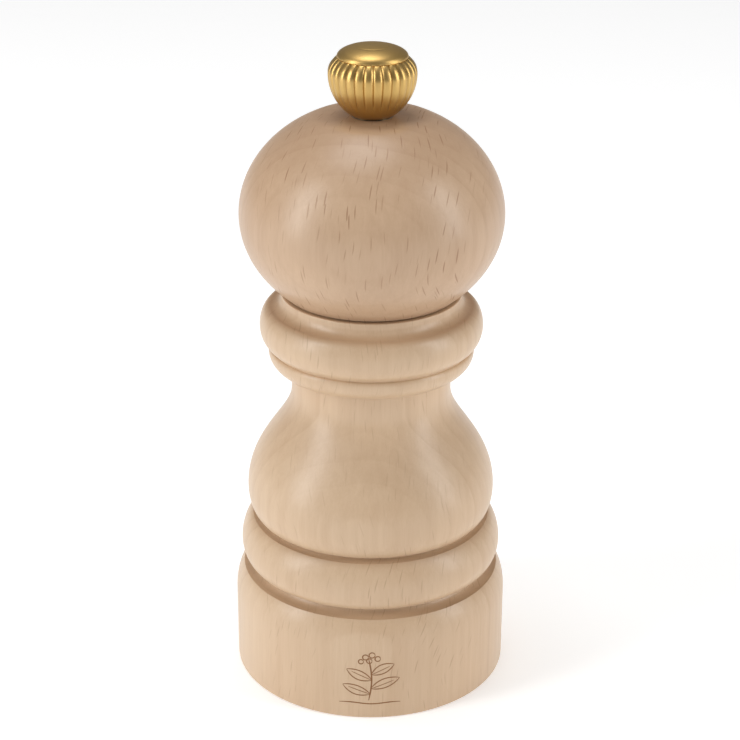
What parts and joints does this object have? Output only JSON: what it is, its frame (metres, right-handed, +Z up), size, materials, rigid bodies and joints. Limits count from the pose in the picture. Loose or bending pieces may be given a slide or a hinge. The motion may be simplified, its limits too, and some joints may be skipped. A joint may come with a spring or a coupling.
{
  "type": "pepper mill",
  "caption": "Turned wooden pepper mill with a ball head, beaded body, fluted brass screw knob and a steel rotor and ring grinding mechanism in its foot.",
  "frame": {"origin": "centre of the foot, on the surface that the mill stands on", "axes": "+Z up along the turning axis, from the foot to the knob; -Y faces the viewer, so that the printed motif is on the -Y side"},
  "size_m": [0.0516, 0.0516, 0.1208],
  "materials": {
    "beech": "turned, sanded and left matt",
    "satin_brass": "satin, with a polished rim",
    "zinc_plated_steel": "bright zinc plate",
    "hardened_steel": "dark case-hardened",
    "nylon": "moulded natural nylon"
  },
  "bodies": {
    "body": {"body": "beech", "grinding_ring": "hardened_steel", "yoke": "zinc_plated_steel", "guide_bush": "nylon", "retaining_plate": "zinc_plated_steel", "retaining_screw_1": "zinc_plated_steel", "retaining_screw_2": "zinc_plated_steel", "retaining_screw_3": "zinc_plated_steel"},
    "spring_seat": {"spring_seat": "zinc_plated_steel", "spring": "zinc_plated_steel"},
    "shaft": {"shaft": "zinc_plated_steel", "rotor": "hardened_steel", "rotor_washer": "zinc_plated_steel"},
    "head": {"head": "beech", "top_washer": "zinc_plated_steel", "drive_plate": "zinc_plated_steel", "drive_plate_screw_1": "zinc_plated_steel", "drive_plate_screw_2": "zinc_plated_steel"},
    "knob": {"knob": "satin_brass", "knob_insert": "zinc_plated_steel"}
  },
  "joints": [
    {"name": "head_turn", "type": "hinge", "parent": "body", "child": "spring_seat", "pos_m": [0, 0, 0.0259], "axis": [0, 0, 1], "continuous": true},
    {"name": "shaft_travel", "type": "slide", "parent": "spring_seat", "child": "shaft", "axis": [0, 0, 1], "range_m": [-0.00104, 0.00034], "deforming": ["spring"]},
    {"name": "head_lift", "type": "slide", "parent": "spring_seat", "child": "head", "axis": [0, 0, 1], "range_m": [0, 0.06]},
    {"name": "knob_turn", "type": "hinge", "parent": "head", "child": "knob", "pos_m": [0, 0, 0.1084], "axis": [0, 0, 1], "range_deg": [-180, 540]}
  ],
  "couplings": [
    {"joint": "knob_turn", "follows": "shaft_travel", "rad_per_m": -8976}
  ]
}
